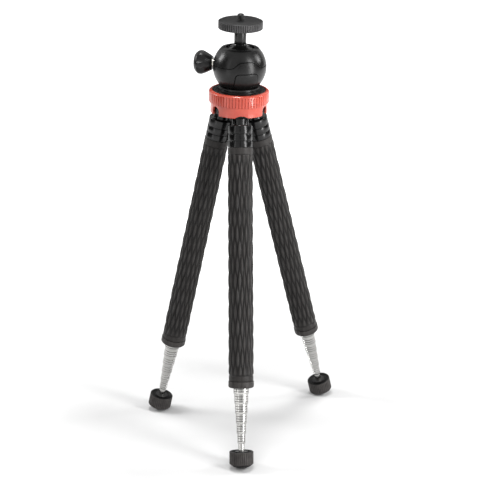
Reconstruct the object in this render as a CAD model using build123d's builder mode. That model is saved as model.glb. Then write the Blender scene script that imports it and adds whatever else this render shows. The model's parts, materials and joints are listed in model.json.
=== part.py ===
from build123d import *
from math import cos, radians, sin, sqrt
import os

os.makedirs("parts", exist_ok=True)

# A camera tripod with a ball head, a turning lock ring and three telescopic legs.
# Millimetres, +Z up, origin on the floor straight below the middle of the three leg hinges.
# Two legs stand open against the ring and the left one a little less, so the head leans until all
# three feet touch the floor. Heights in the head and hub count from the leg hinges, along the hub.

# Stance
leg_azimuth = {"front": 0, "right": 120, "left": -120}
between_legs = 60
leg_spread = {"front": 16.9, "right": 16.9, "left": 11.5}
stop_angle = 16.9
pivot_radius = 14.3

# Clearances
press_gap = 0.02
running_gap = 0.05
free_gap = 0.3
cut_overrun = 1.0

# Hub and hinge pins
hub_radius = 24.4
hub_drop = 6.4
ledge_height = 7.7
ledge_width = 2.3
knuckle_radius = 6.5
tongue_thickness = 8.6
tongue_inner = 7.8
pin_radius = 2.0
pin_length = 19.0
pin_chamfer = 0.3

# Lock ring
ring_bottom = -7.1
ring_step = 2.9
ring_shoulder = 12.9
ring_top = 14.4
ring_wall = 1.9
ring_overhang = 1.6
ring_rim_inset = 2.2
ring_rib_count = 60
ring_rib_radius = 0.55
flange_thickness = 2.8
flange_clearance = 0.2
notch_width = 9.4
notch_top = 1.3
arch_width = 13.0
arch_height = 2.4
ring_turn = 1.0

# Base plate and its screws
base_thickness = 3.2
boss_height = 2.6
boss_edge = 0.2
base_screw_circle = 13.6
base_screw_radius = 1.5
base_screw_head_radius = 2.6
base_screw_head_height = 2.4
base_screw_grip = 8.0

# Ball and housing
ball_rise = 0.5
ball_radius = 21.2
housing_wall = 3.5
opening_radius = 17.2
lip_radius = 13.2
lip_rise = 0.8
foot_flange_radius = 21.8
foot_flange_height = 1.6
foot_step_radius = 19.3
foot_step_height = 2.0
seat_radius = 15.4
seat_height = 3.6

# Stepped parting line and raised panel of the housing, measured from the ball's centre
feature_azimuth = 12.0
seam_rise = 2.9
tab_height = 6.3
tab_top_width = 12.8
tab_base_width = 27.6
tab_corner = 2.5
panel_width = 21.2
panel_drop = 1.9
panel_height = 12.5
panel_corner = 4.0
panel_rise = 0.45

# Neck, stud and camera plate
stem_radius = 5.65
stem_chamfer = 0.5
flare_radius = 7.2
flare_rise = 0.8
spigot_radius = 4.0
spigot_depth = 12.0
neck_length = 14.2
plate_thickness = 8.1
plate_radius = 20.7
plate_bevel_width = 2.4
plate_bevel_height = 1.1
knurl_count = 60
knurl_radius = 0.5
stud_radius = 3.175
stud_length = 5.6
stud_chamfer = 0.6
shank_radius = 3.0
shank_depth = 8.0

# Clamp knob, measured outwards from the hub's axis
knob_azimuth = -107.4
knob_rise = 1.5
pad_radius = 2.9
pad_length = 1.6
clamp_screw_radius = 2.5
clamp_screw_grip = 8.2
bush_radius = 4.0
bush_stand_out = 0.6
thread_play = 0.6
knob_stand_off = 0.9
knob_length = 17.4
knob_neck_radius = 6.4
knob_radius = 11.2
knob_taper = 9.6
knob_band = 3.4
knob_dome = 3.6
knob_face_radius = 7.2
scallop_count = 6
scallop_radius = 8.6
scallop_depth = 1.7
scallop_start = 30

# Legs, measured down each leg from its hinge
shoulder_top = 9.6
shoulder_radius = 8.0
collar_top = 15.8
collar_length = 20.8
collar_radius = 11.44
collar_chamfer = 0.8
groove_count = 2
groove_pitch = 6.5
groove_width = 0.7
groove_depth = 0.5
collar_spigot_radius = 9.4
collar_spigot_length = 22.0
socket_floor = 24.0
grip_length = 218.0
end_ring_length = 6.1
end_ring_radius = 11.97
end_ring_chamfer = 1.0
tube_radius = 7.25
tube_wall = 0.62
tube_play = 0.08
first_stub = 5.8
stub_length = 9.4
last_stub = 7.4
sliding_tubes = 6
tube_top_step = 3.0
tube_chamfer = 0.25
foot_radius = 11.32
foot_length = 11.6
dome_height = 4.5
foot_rib_count = 36
foot_rib_radius = 0.5
insert_radius = 6.0
insert_length = 8.4
insert_floor = 1.2
foot_rim_radius = 9.8
foot_recess = 1.6

# Worked-out sizes
neck_radius = hub_radius - ledge_width
ring_bore = hub_radius + free_gap
ring_lower_radius = ring_bore + ring_wall
ring_upper_radius = ring_lower_radius + ring_overhang
ring_rim_radius = ring_upper_radius - ring_rim_inset
flange_bore = neck_radius + free_gap
flange_bottom = ledge_height + free_gap
flange_top = flange_bottom + flange_thickness
hub_top = flange_top + flange_clearance
base_radius = hub_radius + free_gap / 2
boss_outer = base_screw_circle + base_screw_head_radius + boss_edge
boss_inner = base_screw_circle - base_screw_head_radius - boss_edge
base_top = hub_top + base_thickness
boss_top = base_top + boss_height
foot_step_top = base_top + foot_flange_height + foot_step_height
seat_top = boss_top + seat_height
ball_height = base_top + ball_rise + ball_radius
cavity_radius = ball_radius + free_gap
housing_radius = cavity_radius + housing_wall
seam_height = ball_height + seam_rise
panel_top = ball_height - panel_drop
panel_bottom = panel_top - panel_height
neck_foot = ball_height + ball_radius + flare_rise
plate_bottom = neck_foot + neck_length
plate_top = plate_bottom + plate_thickness
knob_height = ball_height + knob_rise
knob_start = housing_radius + knob_stand_off
bush_face = housing_radius + bush_stand_out
slot_width = tongue_thickness + free_gap
slot_start = pivot_radius - tongue_inner - free_gap
slot_top = knuckle_radius + free_gap
ring_reach = sqrt(ring_bore**2 - (tongue_thickness / 2) ** 2) - pivot_radius
tongue_outer = (
    ring_reach * cos(radians(stop_angle)) + ring_bottom * sin(radians(stop_angle)) - free_gap
)
grip_start = collar_top + collar_length
grip_end_start = grip_start + grip_length
tube_mouth = grip_end_start + end_ring_length + first_stub
foot_top = tube_mouth + (sliding_tubes - 1) * stub_length + last_stub
foot_rim = foot_top + foot_length
dome_radius = (foot_radius**2 + dome_height**2) / (2 * dome_height)
dome_centre = foot_rim + dome_height - dome_radius


def outward(azimuth):
    """Level direction away from the hub, counted from the front leg towards the right one."""
    return Vector(sin(radians(azimuth)), -cos(radians(azimuth)), 0)


def down_leg(leg):
    """Direction of a leg from its hinge to its foot, in the hub's frame."""
    spread = radians(leg_spread[leg])
    return outward(leg_azimuth[leg]) * sin(spread) - Vector(0, 0, 1) * cos(spread)


# The floor touches the three foot domes. It is found in the hub's frame, and everything is then
# placed as seen from the floor.
front_dome, right_dome, left_dome = [
    outward(leg_azimuth[leg]) * pivot_radius + down_leg(leg) * dome_centre
    for leg in ("front", "right", "left")
]
floor_normal = (right_dome - front_dome).cross(left_dome - front_dome).normalized()
hinge_height = dome_radius - front_dome.dot(floor_normal)
floor = Plane(
    origin=floor_normal * -hinge_height,
    x_dir=Vector(0, 1, 0).cross(floor_normal),
    z_dir=floor_normal,
)


def aim(direction):
    """A direction in the hub's frame, as seen from the floor."""
    return Vector(
        direction.dot(floor.x_dir), direction.dot(floor.y_dir), direction.dot(floor.z_dir)
    )


def place(point):
    """A point in the hub's frame, as seen from the floor."""
    return aim(point - floor.origin)


def radial_plane(azimuth, height=0):
    """Plane square to the hub, with its x axis pointing outwards."""
    return Plane(
        origin=place(Vector(0, 0, height)),
        x_dir=aim(outward(azimuth)),
        z_dir=aim(Vector(0, 0, 1)),
    )


def facing_plane(azimuth, height=0):
    """Plane that faces outwards, with its y axis up the hub."""
    across = outward(azimuth + 90)
    return Plane(
        origin=place(Vector(0, 0, height)), x_dir=aim(across), z_dir=aim(outward(azimuth))
    )


def side_of(plane):
    """Plane through another plane's z axis: x is the radius and y the distance along the axis."""
    return Plane(origin=plane.origin, x_dir=plane.x_dir, z_dir=-plane.y_dir)


def axis_of(plane):
    return Axis(plane.origin, plane.z_dir)


def outline(*points, mode=Mode.ADD):
    """Face of straight runs, at the given places in the sketch."""
    Polygon(*points, align=None, mode=mode)


def block(low_x, low_y, high_x, high_y, mode=Mode.ADD):
    """Upright rectangle given by two corners."""
    outline((low_x, low_y), (high_x, low_y), (high_x, high_y), (low_x, high_y), mode=mode)


def keep(piece, node):
    piece.part.label = node
    export_step(piece.part, f"parts/{node}.step")


hub_plane = radial_plane(90)
hub_side = side_of(hub_plane)
hub_axis = axis_of(hub_plane)
ball_location = Location(place(Vector(0, 0, ball_height)))


def leg_plane(leg):
    """Plane at a leg's hinge: z runs down the leg, x points outwards and up."""
    spread = radians(leg_spread[leg])
    out = outward(leg_azimuth[leg])
    return Plane(
        origin=place(out * pivot_radius),
        x_dir=aim(out * cos(spread) + Vector(0, 0, 1) * sin(spread)),
        z_dir=aim(down_leg(leg)),
    )


def pin_plane(leg):
    """Plane at a leg's hinge, square to its pin."""
    frame = leg_plane(leg)
    return Plane(origin=frame.origin, x_dir=frame.x_dir, z_dir=frame.y_dir)


# Hub
base_screw_azimuths = [azimuth + between_legs for azimuth in leg_azimuth.values()]
with BuildPart() as hub:
    with BuildSketch(hub_side):
        block(0, -hub_drop, hub_radius, ledge_height)
        block(0, ledge_height, neck_radius, hub_top)
    revolve(axis=hub_axis)
    for azimuth in leg_azimuth.values():
        with BuildSketch(side_of(radial_plane(azimuth))):
            block(slot_start, -hub_drop - cut_overrun, hub_radius + cut_overrun, slot_top)
        extrude(amount=slot_width / 2, both=True, mode=Mode.SUBTRACT)
    for leg in leg_azimuth:
        with BuildSketch(pin_plane(leg)):
            Circle(pin_radius + press_gap)
        extrude(amount=hub_radius, both=True, mode=Mode.SUBTRACT)
    for azimuth in base_screw_azimuths:
        with BuildSketch(radial_plane(azimuth, hub_top)):
            with Locations((base_screw_circle, 0)):
                Circle(base_screw_radius + press_gap)
        extrude(amount=-base_screw_grip, mode=Mode.SUBTRACT)
keep(hub, "hub")

# Hinge pins
for leg in leg_azimuth:
    with BuildPart() as hinge_pin:
        with BuildSketch(pin_plane(leg)):
            Circle(pin_radius)
        extrude(amount=pin_length / 2, both=True)
        chamfer(hinge_pin.edges(), pin_chamfer)
    keep(hinge_pin, f"hinge_pin_{leg}")

# Base plate
with BuildPart() as base_plate:
    with BuildSketch(hub_side):
        block(0, hub_top, base_radius, base_top)
        block(boss_inner, base_top, boss_outer, boss_top)
    revolve(axis=hub_axis)
    for azimuth in base_screw_azimuths:
        with BuildSketch(radial_plane(azimuth, boss_top)):
            with Locations((base_screw_circle, 0)):
                Circle(base_screw_head_radius + press_gap)
        extrude(amount=-base_screw_head_height, mode=Mode.SUBTRACT)
        with BuildSketch(radial_plane(azimuth, boss_top)):
            with Locations((base_screw_circle, 0)):
                Circle(base_screw_radius + press_gap)
        extrude(amount=-(boss_top - hub_top), mode=Mode.SUBTRACT)
keep(base_plate, "base_plate")

# Base screws
screw_seat = boss_top - base_screw_head_height
for number, azimuth in enumerate(base_screw_azimuths, start=1):
    with BuildPart() as base_screw:
        with BuildSketch(radial_plane(azimuth, screw_seat)):
            with Locations((base_screw_circle, 0)):
                Circle(base_screw_head_radius)
        extrude(amount=base_screw_head_height)
        with BuildSketch(radial_plane(azimuth, screw_seat)):
            with Locations((base_screw_circle, 0)):
                Circle(base_screw_radius)
        extrude(amount=-(screw_seat - hub_top + base_screw_grip))
    keep(base_screw, f"base_screw_{number}")

# Lock ring
arch_radius = (arch_width**2 / 4 + arch_height**2) / (2 * arch_height)
with BuildPart() as lock_ring:
    with BuildSketch(hub_side):
        outline(
            (ring_bore, ring_bottom),
            (ring_lower_radius, ring_bottom),
            (ring_lower_radius, ring_step),
            (ring_upper_radius, ring_step),
            (ring_upper_radius, ring_shoulder),
            (ring_rim_radius, ring_top),
            (ring_bore + free_gap, ring_top),
            (ring_bore + free_gap, flange_top),
            (flange_bore, flange_top),
            (flange_bore, flange_bottom),
            (ring_bore, flange_bottom),
        )
    revolve(axis=hub_axis)
    with BuildSketch(hub_plane.offset(ring_step)):
        with PolarLocations(ring_upper_radius + ring_rib_radius / 2, ring_rib_count):
            Circle(ring_rib_radius)
    extrude(amount=ring_top - ring_step, mode=Mode.SUBTRACT)
    for azimuth in leg_azimuth.values():
        with BuildSketch(facing_plane(azimuth + ring_turn)):
            with Locations((0, ring_bottom + arch_height - arch_radius)):
                Circle(arch_radius)
        extrude(amount=ring_upper_radius, mode=Mode.SUBTRACT)
        with BuildSketch(facing_plane(azimuth + between_legs + ring_turn)):
            block(
                -notch_width / 2,
                ring_bottom - cut_overrun,
                notch_width / 2,
                notch_top - notch_width / 2,
            )
            with Locations((0, notch_top - notch_width / 2)):
                Circle(notch_width / 2)
        extrude(amount=ring_upper_radius, mode=Mode.SUBTRACT)
keep(lock_ring, "lock_ring")

# Ball, with the flare that carries its neck
with BuildPart() as ball:
    with Locations(ball_location):
        Sphere(ball_radius)
    with BuildSketch(hub_side):
        flare_foot = ball_height + sqrt(ball_radius**2 - flare_radius**2)
        outline(
            (0, ball_height), (flare_radius, flare_foot), (stem_radius, neck_foot), (0, neck_foot)
        )
    revolve(axis=hub_axis)
    with BuildSketch(hub_plane.offset(neck_foot)):
        Circle(spigot_radius + press_gap)
    extrude(amount=-spigot_depth, mode=Mode.SUBTRACT)
keep(ball, "ball")

# Neck of the ball
stem_top = plate_bottom - 2 * running_gap
stud_foot = stem_top - shank_depth
with BuildPart() as ball_stem:
    with BuildSketch(hub_side):
        outline(
            (0, neck_foot - spigot_depth),
            (spigot_radius, neck_foot - spigot_depth),
            (spigot_radius, neck_foot),
            (stem_radius, neck_foot),
            (stem_radius, stem_top - stem_chamfer),
            (stem_radius - stem_chamfer, stem_top),
            (0, stem_top),
        )
    revolve(axis=hub_axis)
    with BuildSketch(hub_plane.offset(stem_top)):
        Circle(shank_radius + press_gap)
    extrude(amount=-shank_depth, mode=Mode.SUBTRACT)
keep(ball_stem, "ball_stem")

# Camera screw
with BuildPart() as camera_screw:
    with BuildSketch(hub_side):
        outline(
            (0, stud_foot),
            (shank_radius, stud_foot),
            (shank_radius, plate_top),
            (stud_radius, plate_top),
            (stud_radius, plate_top + stud_length - stud_chamfer),
            (stud_radius - stud_chamfer, plate_top + stud_length),
            (0, plate_top + stud_length),
        )
    revolve(axis=hub_axis)
keep(camera_screw, "camera_screw")

# Camera plate, a knurled lock disc
with BuildPart() as camera_plate:
    with BuildSketch(hub_side):
        outline(
            (shank_radius + running_gap, plate_bottom),
            (plate_radius - knurl_radius, plate_bottom),
            (plate_radius, plate_bottom + knurl_radius),
            (plate_radius, plate_top - plate_bevel_height),
            (plate_radius - plate_bevel_width, plate_top),
            (shank_radius + running_gap, plate_top),
        )
    revolve(axis=hub_axis)
    with BuildSketch(hub_plane.offset(plate_bottom)):
        with PolarLocations(plate_radius + knurl_radius / 2, knurl_count):
            Circle(knurl_radius)
    extrude(amount=plate_thickness, mode=Mode.SUBTRACT)
keep(camera_plate, "camera_plate")

# Ball seat, a plastic cup
with BuildPart() as ball_seat:
    with BuildSketch(hub_side):
        block(boss_inner, boss_top + running_gap, seat_radius, seat_top)
    revolve(axis=hub_axis)
    with Locations(ball_location):
        Sphere(ball_radius + running_gap, mode=Mode.SUBTRACT)
keep(ball_seat, "ball_seat")

# Housing as one solid, before its parting line
opening_height = ball_height + sqrt(housing_radius**2 - opening_radius**2)
with BuildPart() as shell:
    with BuildSketch(hub_side):
        with Locations((0, ball_height)):
            Circle(housing_radius)
        block(0, foot_step_top, housing_radius, opening_height, mode=Mode.INTERSECT)
        block(0, base_top, foot_flange_radius, base_top + foot_flange_height)
        block(0, base_top + foot_flange_height, foot_step_radius, foot_step_top)
        outline(
            (lip_radius, ball_height),
            (opening_radius, ball_height),
            (opening_radius, opening_height),
            (lip_radius, opening_height + lip_rise),
        )
        block(0, ball_height, lip_radius, opening_height, mode=Mode.SUBTRACT)
    revolve(axis=hub_axis)

# Everything above the parting line, which steps up in a tab at the front
with BuildPart() as above_seam:
    with BuildSketch(hub_plane.offset(seam_height)):
        Circle(2 * housing_radius)
    extrude(amount=2 * housing_radius)
    with BuildSketch(facing_plane(feature_azimuth)):
        with BuildLine():
            FilletPolyline(
                (-tab_base_width, seam_height),
                (-tab_base_width / 2, seam_height),
                (-tab_top_width / 2, seam_height + tab_height),
                (tab_top_width / 2, seam_height + tab_height),
                (tab_base_width / 2, seam_height),
                (tab_base_width, seam_height),
                radius=tab_corner,
            )
            Polyline(
                (tab_base_width, seam_height),
                (tab_base_width, panel_bottom),
                (-tab_base_width, panel_bottom),
                (-tab_base_width, seam_height),
            )
        make_face()
    extrude(amount=2 * housing_radius, mode=Mode.SUBTRACT)

# Raised panel under the tab
with BuildPart() as panel:
    with Locations(ball_location):
        Sphere(housing_radius + panel_rise)
    with BuildSketch(facing_plane(feature_azimuth)):
        with BuildLine():
            FilletPolyline(
                (-panel_width / 2, panel_bottom),
                (-panel_width / 2, panel_top),
                (panel_width / 2, panel_top),
                (panel_width / 2, panel_bottom),
                radius=panel_corner,
            )
            Line((panel_width / 2, panel_bottom), (-panel_width / 2, panel_bottom))
        make_face()
    extrude(amount=2 * housing_radius, mode=Mode.INTERSECT)

# Room in both shells for the ball, its seat, the pressure pad and the bush
knob_plane = facing_plane(knob_azimuth, knob_height)
knob_side = side_of(knob_plane)
knob_axis = axis_of(knob_plane)
pad_start = ball_radius + free_gap
bush_start = pad_start + pad_length + thread_play
with BuildPart() as chamber:
    with Locations(ball_location):
        Sphere(cavity_radius)
    with BuildSketch(hub_side):
        block(0, base_top, boss_outer + press_gap, boss_top)
        block(0, boss_top, seat_radius + running_gap, ball_height)
    revolve(axis=hub_axis)
    with BuildSketch(knob_side):
        block(0, 0, pad_radius + running_gap, bush_start)
        block(0, bush_start, bush_radius + press_gap, knob_start)
    revolve(axis=knob_axis)

# Housing shells
with BuildPart() as housing_upper:
    add(shell.part)
    add(above_seam.part, mode=Mode.INTERSECT)
    add(chamber.part, mode=Mode.SUBTRACT)
keep(housing_upper, "housing_upper")

with BuildPart() as housing_lower:
    add(shell.part)
    add(above_seam.part, mode=Mode.SUBTRACT)
    add(panel.part)
    add(chamber.part, mode=Mode.SUBTRACT)
keep(housing_lower, "housing_lower")

# Clamp: pad, screw, bush and knob
with BuildPart() as pressure_pad:
    with BuildSketch(knob_side):
        block(0, pad_start, pad_radius, pad_start + pad_length)
    revolve(axis=knob_axis)
keep(pressure_pad, "pressure_pad")

screw_start = pad_start + pad_length
clamp_screw_length = knob_start + clamp_screw_grip - screw_start
screw_end = screw_start + clamp_screw_length
with BuildPart() as clamp_screw:
    with BuildSketch(knob_side):
        block(0, screw_start, clamp_screw_radius, screw_end)
    revolve(axis=knob_axis)
keep(clamp_screw, "clamp_screw")

with BuildPart() as screw_bush:
    with BuildSketch(knob_side):
        block(clamp_screw_radius + running_gap, bush_start, bush_radius, bush_face)
    revolve(axis=knob_axis)
keep(screw_bush, "screw_bush")

knob_end = knob_start + knob_length
band_start = knob_start + knob_taper
with BuildPart() as clamp_knob:
    with BuildSketch(knob_side):
        outline(
            (0, knob_start),
            (knob_neck_radius, knob_start),
            (knob_radius, band_start),
            (knob_radius, band_start + knob_band),
            (knob_face_radius, band_start + knob_band + knob_dome),
            (0, knob_end),
        )
        block(0, knob_start, clamp_screw_radius + press_gap, screw_end, mode=Mode.SUBTRACT)
    revolve(axis=knob_axis)
    with BuildSketch(knob_plane.offset(knob_start)):
        with PolarLocations(
            knob_radius + scallop_radius - scallop_depth, scallop_count, start_angle=scallop_start
        ):
            Circle(scallop_radius)
    extrude(amount=knob_taper + knob_band, mode=Mode.SUBTRACT)
keep(clamp_knob, "clamp_knob")


def tube_size(number):
    """Outer radius of a tube, counted from the fixed one."""
    return tube_radius - number * (tube_wall + tube_play)


def tube_end(number):
    """Distance from the hinge to the lower end of a tube."""
    if number == sliding_tubes:
        return foot_top + insert_length
    return tube_mouth + number * stub_length


# Legs
for leg in leg_azimuth:
    frame = leg_plane(leg)
    side = side_of(frame)
    axis = axis_of(frame)

    # Collar with its hinge tongue and the socket for the fixed tube
    with BuildPart() as leg_head:
        with BuildSketch(pin_plane(leg)):
            Circle(knuckle_radius)
            block(-tongue_inner, -collar_top - collar_chamfer, tongue_outer, 0)
        extrude(amount=tongue_thickness / 2, both=True)
        with BuildSketch(side):
            outline(
                (0, shoulder_top),
                (shoulder_radius - collar_chamfer, shoulder_top),
                (shoulder_radius, shoulder_top + collar_chamfer),
                (shoulder_radius, collar_top),
                (collar_radius - collar_chamfer, collar_top),
                (collar_radius, collar_top + collar_chamfer),
                (collar_radius, grip_start),
                (collar_spigot_radius, grip_start),
                (collar_spigot_radius, grip_start + collar_spigot_length),
                (0, grip_start + collar_spigot_length),
            )
            for number in range(1, groove_count + 1):
                groove_start = grip_start - number * groove_pitch
                block(
                    collar_radius - groove_depth,
                    groove_start,
                    collar_radius,
                    groove_start + groove_width,
                    mode=Mode.SUBTRACT,
                )
        revolve(axis=axis)
        with BuildSketch(frame.offset(socket_floor)):
            Circle(tube_radius + press_gap)
        extrude(amount=grip_length, mode=Mode.SUBTRACT)
        with BuildSketch(pin_plane(leg)):
            Circle(pin_radius + running_gap)
        extrude(amount=tongue_thickness, both=True, mode=Mode.SUBTRACT)
    keep(leg_head, f"leg_head_{leg}")

    # Rubber sleeve
    with BuildPart() as grip:
        with BuildSketch(side):
            block(tube_radius + press_gap, grip_start, collar_radius, grip_end_start)
            block(
                0,
                grip_start,
                collar_spigot_radius + press_gap,
                grip_start + collar_spigot_length,
                mode=Mode.SUBTRACT,
            )
        revolve(axis=axis)
    keep(grip, f"grip_{leg}")

    with BuildPart() as grip_end:
        with BuildSketch(side):
            outline(
                (tube_radius + press_gap, grip_end_start),
                (end_ring_radius, grip_end_start),
                (end_ring_radius, grip_end_start + end_ring_length - end_ring_chamfer),
                (end_ring_radius - end_ring_chamfer, grip_end_start + end_ring_length),
                (tube_radius + press_gap, grip_end_start + end_ring_length),
            )
        revolve(axis=axis)
    keep(grip_end, f"grip_end_{leg}")

    # Fixed tube and the tubes that slide in it
    for number in range(sliding_tubes + 1):
        radius = tube_size(number)
        with BuildPart() as tube:
            with BuildSketch(side):
                block(
                    radius - tube_wall,
                    socket_floor + number * tube_top_step,
                    radius,
                    tube_end(number),
                )
            revolve(axis=axis)
            chamfer(tube.edges().filter_by(GeomType.CIRCLE).sort_by(axis)[-1], tube_chamfer)
        keep(tube, f"tube_{number}_{leg}")

    # Foot on its hard core
    core_radius = tube_size(sliding_tubes)
    with BuildPart() as foot_insert:
        with BuildSketch(side):
            block(0, foot_top, insert_radius, foot_top + insert_length + insert_floor)
            block(0, foot_top, core_radius + press_gap, tube_end(sliding_tubes), mode=Mode.SUBTRACT)
        revolve(axis=axis)
    keep(foot_insert, f"foot_insert_{leg}")

    with BuildPart() as foot:
        with BuildSketch(side):
            with Locations((0, dome_centre)):
                Circle(dome_radius)
            block(0, foot_rim, foot_radius, foot_rim + dome_height, mode=Mode.INTERSECT)
            block(0, foot_top, foot_radius, foot_rim)
            block(0, foot_top, foot_rim_radius, foot_top + foot_recess, mode=Mode.SUBTRACT)
            block(
                0,
                foot_top,
                insert_radius + press_gap,
                foot_top + insert_length + insert_floor,
                mode=Mode.SUBTRACT,
            )
        revolve(axis=axis)
        with BuildSketch(frame.offset(foot_top)):
            with PolarLocations(foot_radius + foot_rib_radius / 2, foot_rib_count):
                Circle(foot_rib_radius)
        extrude(amount=foot_length, mode=Mode.SUBTRACT)
    keep(foot, f"foot_{leg}")
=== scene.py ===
# %% [markdown]
# # A small camera tripod
#
# The tripod is a stack of round parts: a ball head, a coral-red lock ring, and three legs that telescope.
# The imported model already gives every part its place, so this script dresses it: finer shapes where the
# light catches them, then a material for each finish, and at the end the studio around it.

import json
from math import acos, atan2, cos, degrees, pi, radians, sin

import bpy
from mathutils import Matrix, Vector


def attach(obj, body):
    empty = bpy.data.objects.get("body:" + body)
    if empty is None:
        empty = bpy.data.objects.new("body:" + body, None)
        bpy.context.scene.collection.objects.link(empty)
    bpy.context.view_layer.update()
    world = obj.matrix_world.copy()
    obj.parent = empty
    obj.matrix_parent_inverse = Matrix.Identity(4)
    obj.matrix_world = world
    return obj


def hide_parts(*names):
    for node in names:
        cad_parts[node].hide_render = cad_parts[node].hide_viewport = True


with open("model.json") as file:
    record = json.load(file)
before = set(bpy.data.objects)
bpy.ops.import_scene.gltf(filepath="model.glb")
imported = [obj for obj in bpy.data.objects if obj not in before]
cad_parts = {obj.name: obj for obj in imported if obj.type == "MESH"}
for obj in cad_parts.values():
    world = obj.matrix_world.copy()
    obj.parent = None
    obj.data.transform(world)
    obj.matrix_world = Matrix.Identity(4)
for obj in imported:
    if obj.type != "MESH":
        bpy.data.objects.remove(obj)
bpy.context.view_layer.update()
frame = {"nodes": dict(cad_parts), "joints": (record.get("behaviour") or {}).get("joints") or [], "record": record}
joints = {joint["name"]: joint for joint in frame["joints"]}

# %% [markdown]
# ## Where things are
#
# The head leans a few degrees, because one leg is a little less open than the others. Nothing on it is
# easy to model at that slant, so every piece is modelled upright, with the middle of the hub at the
# origin, and is then carried to its place with a matrix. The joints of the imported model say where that
# place is: the lock ring turns about the hub's own axis, and the leg hinges and the sliding tubes give
# each leg a frame that points down the leg.
#
# Outlines are written in millimetres, because they are easier to read that way. Heights on the head count
# up from the middle of the hub, and lengths on a leg count down from its hinge.

# %% Frames for the hub and the legs
def frame_matrix(origin, x_axis, z_axis):
    """Matrix whose columns are the axes of a frame, and its origin."""
    z_axis = z_axis.normalized()
    y_axis = z_axis.cross(x_axis).normalized()
    matrix = Matrix((y_axis.cross(z_axis), y_axis, z_axis)).transposed().to_4x4()
    matrix.translation = origin
    return matrix


hub_origin = Vector(joints["ring_turn"]["pos_m"])
hub_axis = Vector(joints["ring_turn"]["axis"])
to_front_hinge = Vector(joints["leg_hinge_front"]["pos_m"]) - hub_origin
hub_frame = frame_matrix(hub_origin, hub_axis.cross(to_front_hinge), hub_axis)

LEGS = ("front", "right", "left")
leg_frames = {}
for leg in LEGS:
    hinge = joints[f"leg_hinge_{leg}"]
    down = Vector(joints[f"tube_slide_1_{leg}"]["axis"])
    leg_frames[leg] = frame_matrix(Vector(hinge["pos_m"]), Vector(hinge["axis"]).cross(down), down)
print("head leans", round(degrees(acos(hub_axis.z)), 2), "degrees")

# %% [markdown]
# ## The camera
#
# A photograph from close by makes near things larger, and that shows here: the front leg looks longer
# than the others. The camera therefore stands as far away as it did for the photograph, 1.8 m, and a long
# lens fills the frame. Its place was found by matching the edges of the legs, the ring and the plate.

# %% Camera
bpy.ops.object.camera_add(location=(-0.13052, -1.66662, 0.75195))
camera = bpy.context.object
camera.name = "camera"
camera.rotation_euler = (radians(71.454), radians(1.633), radians(-4.934))
camera.data.sensor_width = 36
camera.data.lens = 137.97
bpy.context.scene.camera = camera
print("camera is", round(camera.location.length, 3), "m from the tripod's foot")

# %% [markdown]
# ## Finishes
#
# Nothing on a real product is one flat colour. Paint has a fine grain, rubber is mottled, and metal keeps
# the marks of the tool that made it. Each finish below starts as a plain shader, with what is the same
# all over set on its own sockets, and gets noise of a real size for the rest. Most read Object
# coordinates. Turned and drawn pieces need their marks to follow the piece, so each piece stores its
# coordinates from before it was tilted into place, in an attribute called upright, and those finishes
# read that. It also tells how far a point is from the axis, so that the valleys of a ribbed piece can get
# painted shade and its crests a painted highlight.

# %% A plain shader to start from
def new_finish(name, color, roughness, metallic=0.0, specular=0.5):
    """A material with its plain values on the shader's own sockets."""
    material = bpy.data.materials.new(name)
    material.use_nodes = True
    shader = material.node_tree.nodes["Principled BSDF"]
    shader.inputs["Base Color"].default_value = (*color, 1)
    shader.inputs["Roughness"].default_value = roughness
    shader.inputs["Metallic"].default_value = metallic
    shader.inputs["Specular IOR Level"].default_value = specular
    return material


def grain(material, size, detail=3.0, stretch=(1, 1, 1), follow=False):
    """Noise with spots of a size in millimetres, that may follow the turned piece."""
    nodes, links = material.node_tree.nodes, material.node_tree.links
    if follow:
        place = nodes.new("ShaderNodeAttribute")
        place.attribute_name = "upright"
        place = place.outputs["Vector"]
    else:
        place = nodes.new("ShaderNodeTexCoord").outputs["Object"]
    mapping = nodes.new("ShaderNodeMapping")
    mapping.inputs["Scale"].default_value = stretch
    links.new(place, mapping.inputs["Vector"])
    texture = nodes.new("ShaderNodeTexNoise")
    texture.inputs["Scale"].default_value = 1000 / size
    texture.inputs["Detail"].default_value = detail
    links.new(mapping.outputs["Vector"], texture.inputs["Vector"])
    return texture.outputs["Fac"]


def vary_color(material, texture, dark, light):
    """Lets the colour wander between two shades."""
    nodes, links = material.node_tree.nodes, material.node_tree.links
    ramp = nodes.new("ShaderNodeValToRGB")
    ramp.color_ramp.elements[0].position = 0.32
    ramp.color_ramp.elements[0].color = (*dark, 1)
    ramp.color_ramp.elements[1].position = 0.68
    ramp.color_ramp.elements[1].color = (*light, 1)
    links.new(texture, ramp.inputs["Fac"])
    links.new(ramp.outputs["Color"], nodes["Principled BSDF"].inputs["Base Color"])


def vary_roughness(material, texture, low, high):
    """Lets the gloss wander, as handling and wear make it."""
    nodes, links = material.node_tree.nodes, material.node_tree.links
    spread = nodes.new("ShaderNodeMapRange")
    spread.inputs["From Min"].default_value = 0.3
    spread.inputs["From Max"].default_value = 0.7
    spread.inputs["To Min"].default_value = low
    spread.inputs["To Max"].default_value = high
    links.new(texture, spread.inputs["Value"])
    links.new(spread.outputs["Result"], nodes["Principled BSDF"].inputs["Roughness"])


def raise_surface(material, texture, height):
    """Bump of a height in millimetres."""
    nodes, links = material.node_tree.nodes, material.node_tree.links
    bump = nodes.new("ShaderNodeBump")
    bump.inputs["Distance"].default_value = height / 1000
    links.new(texture, bump.inputs["Height"])
    links.new(bump.outputs["Normal"], nodes["Principled BSDF"].inputs["Normal"])


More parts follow.
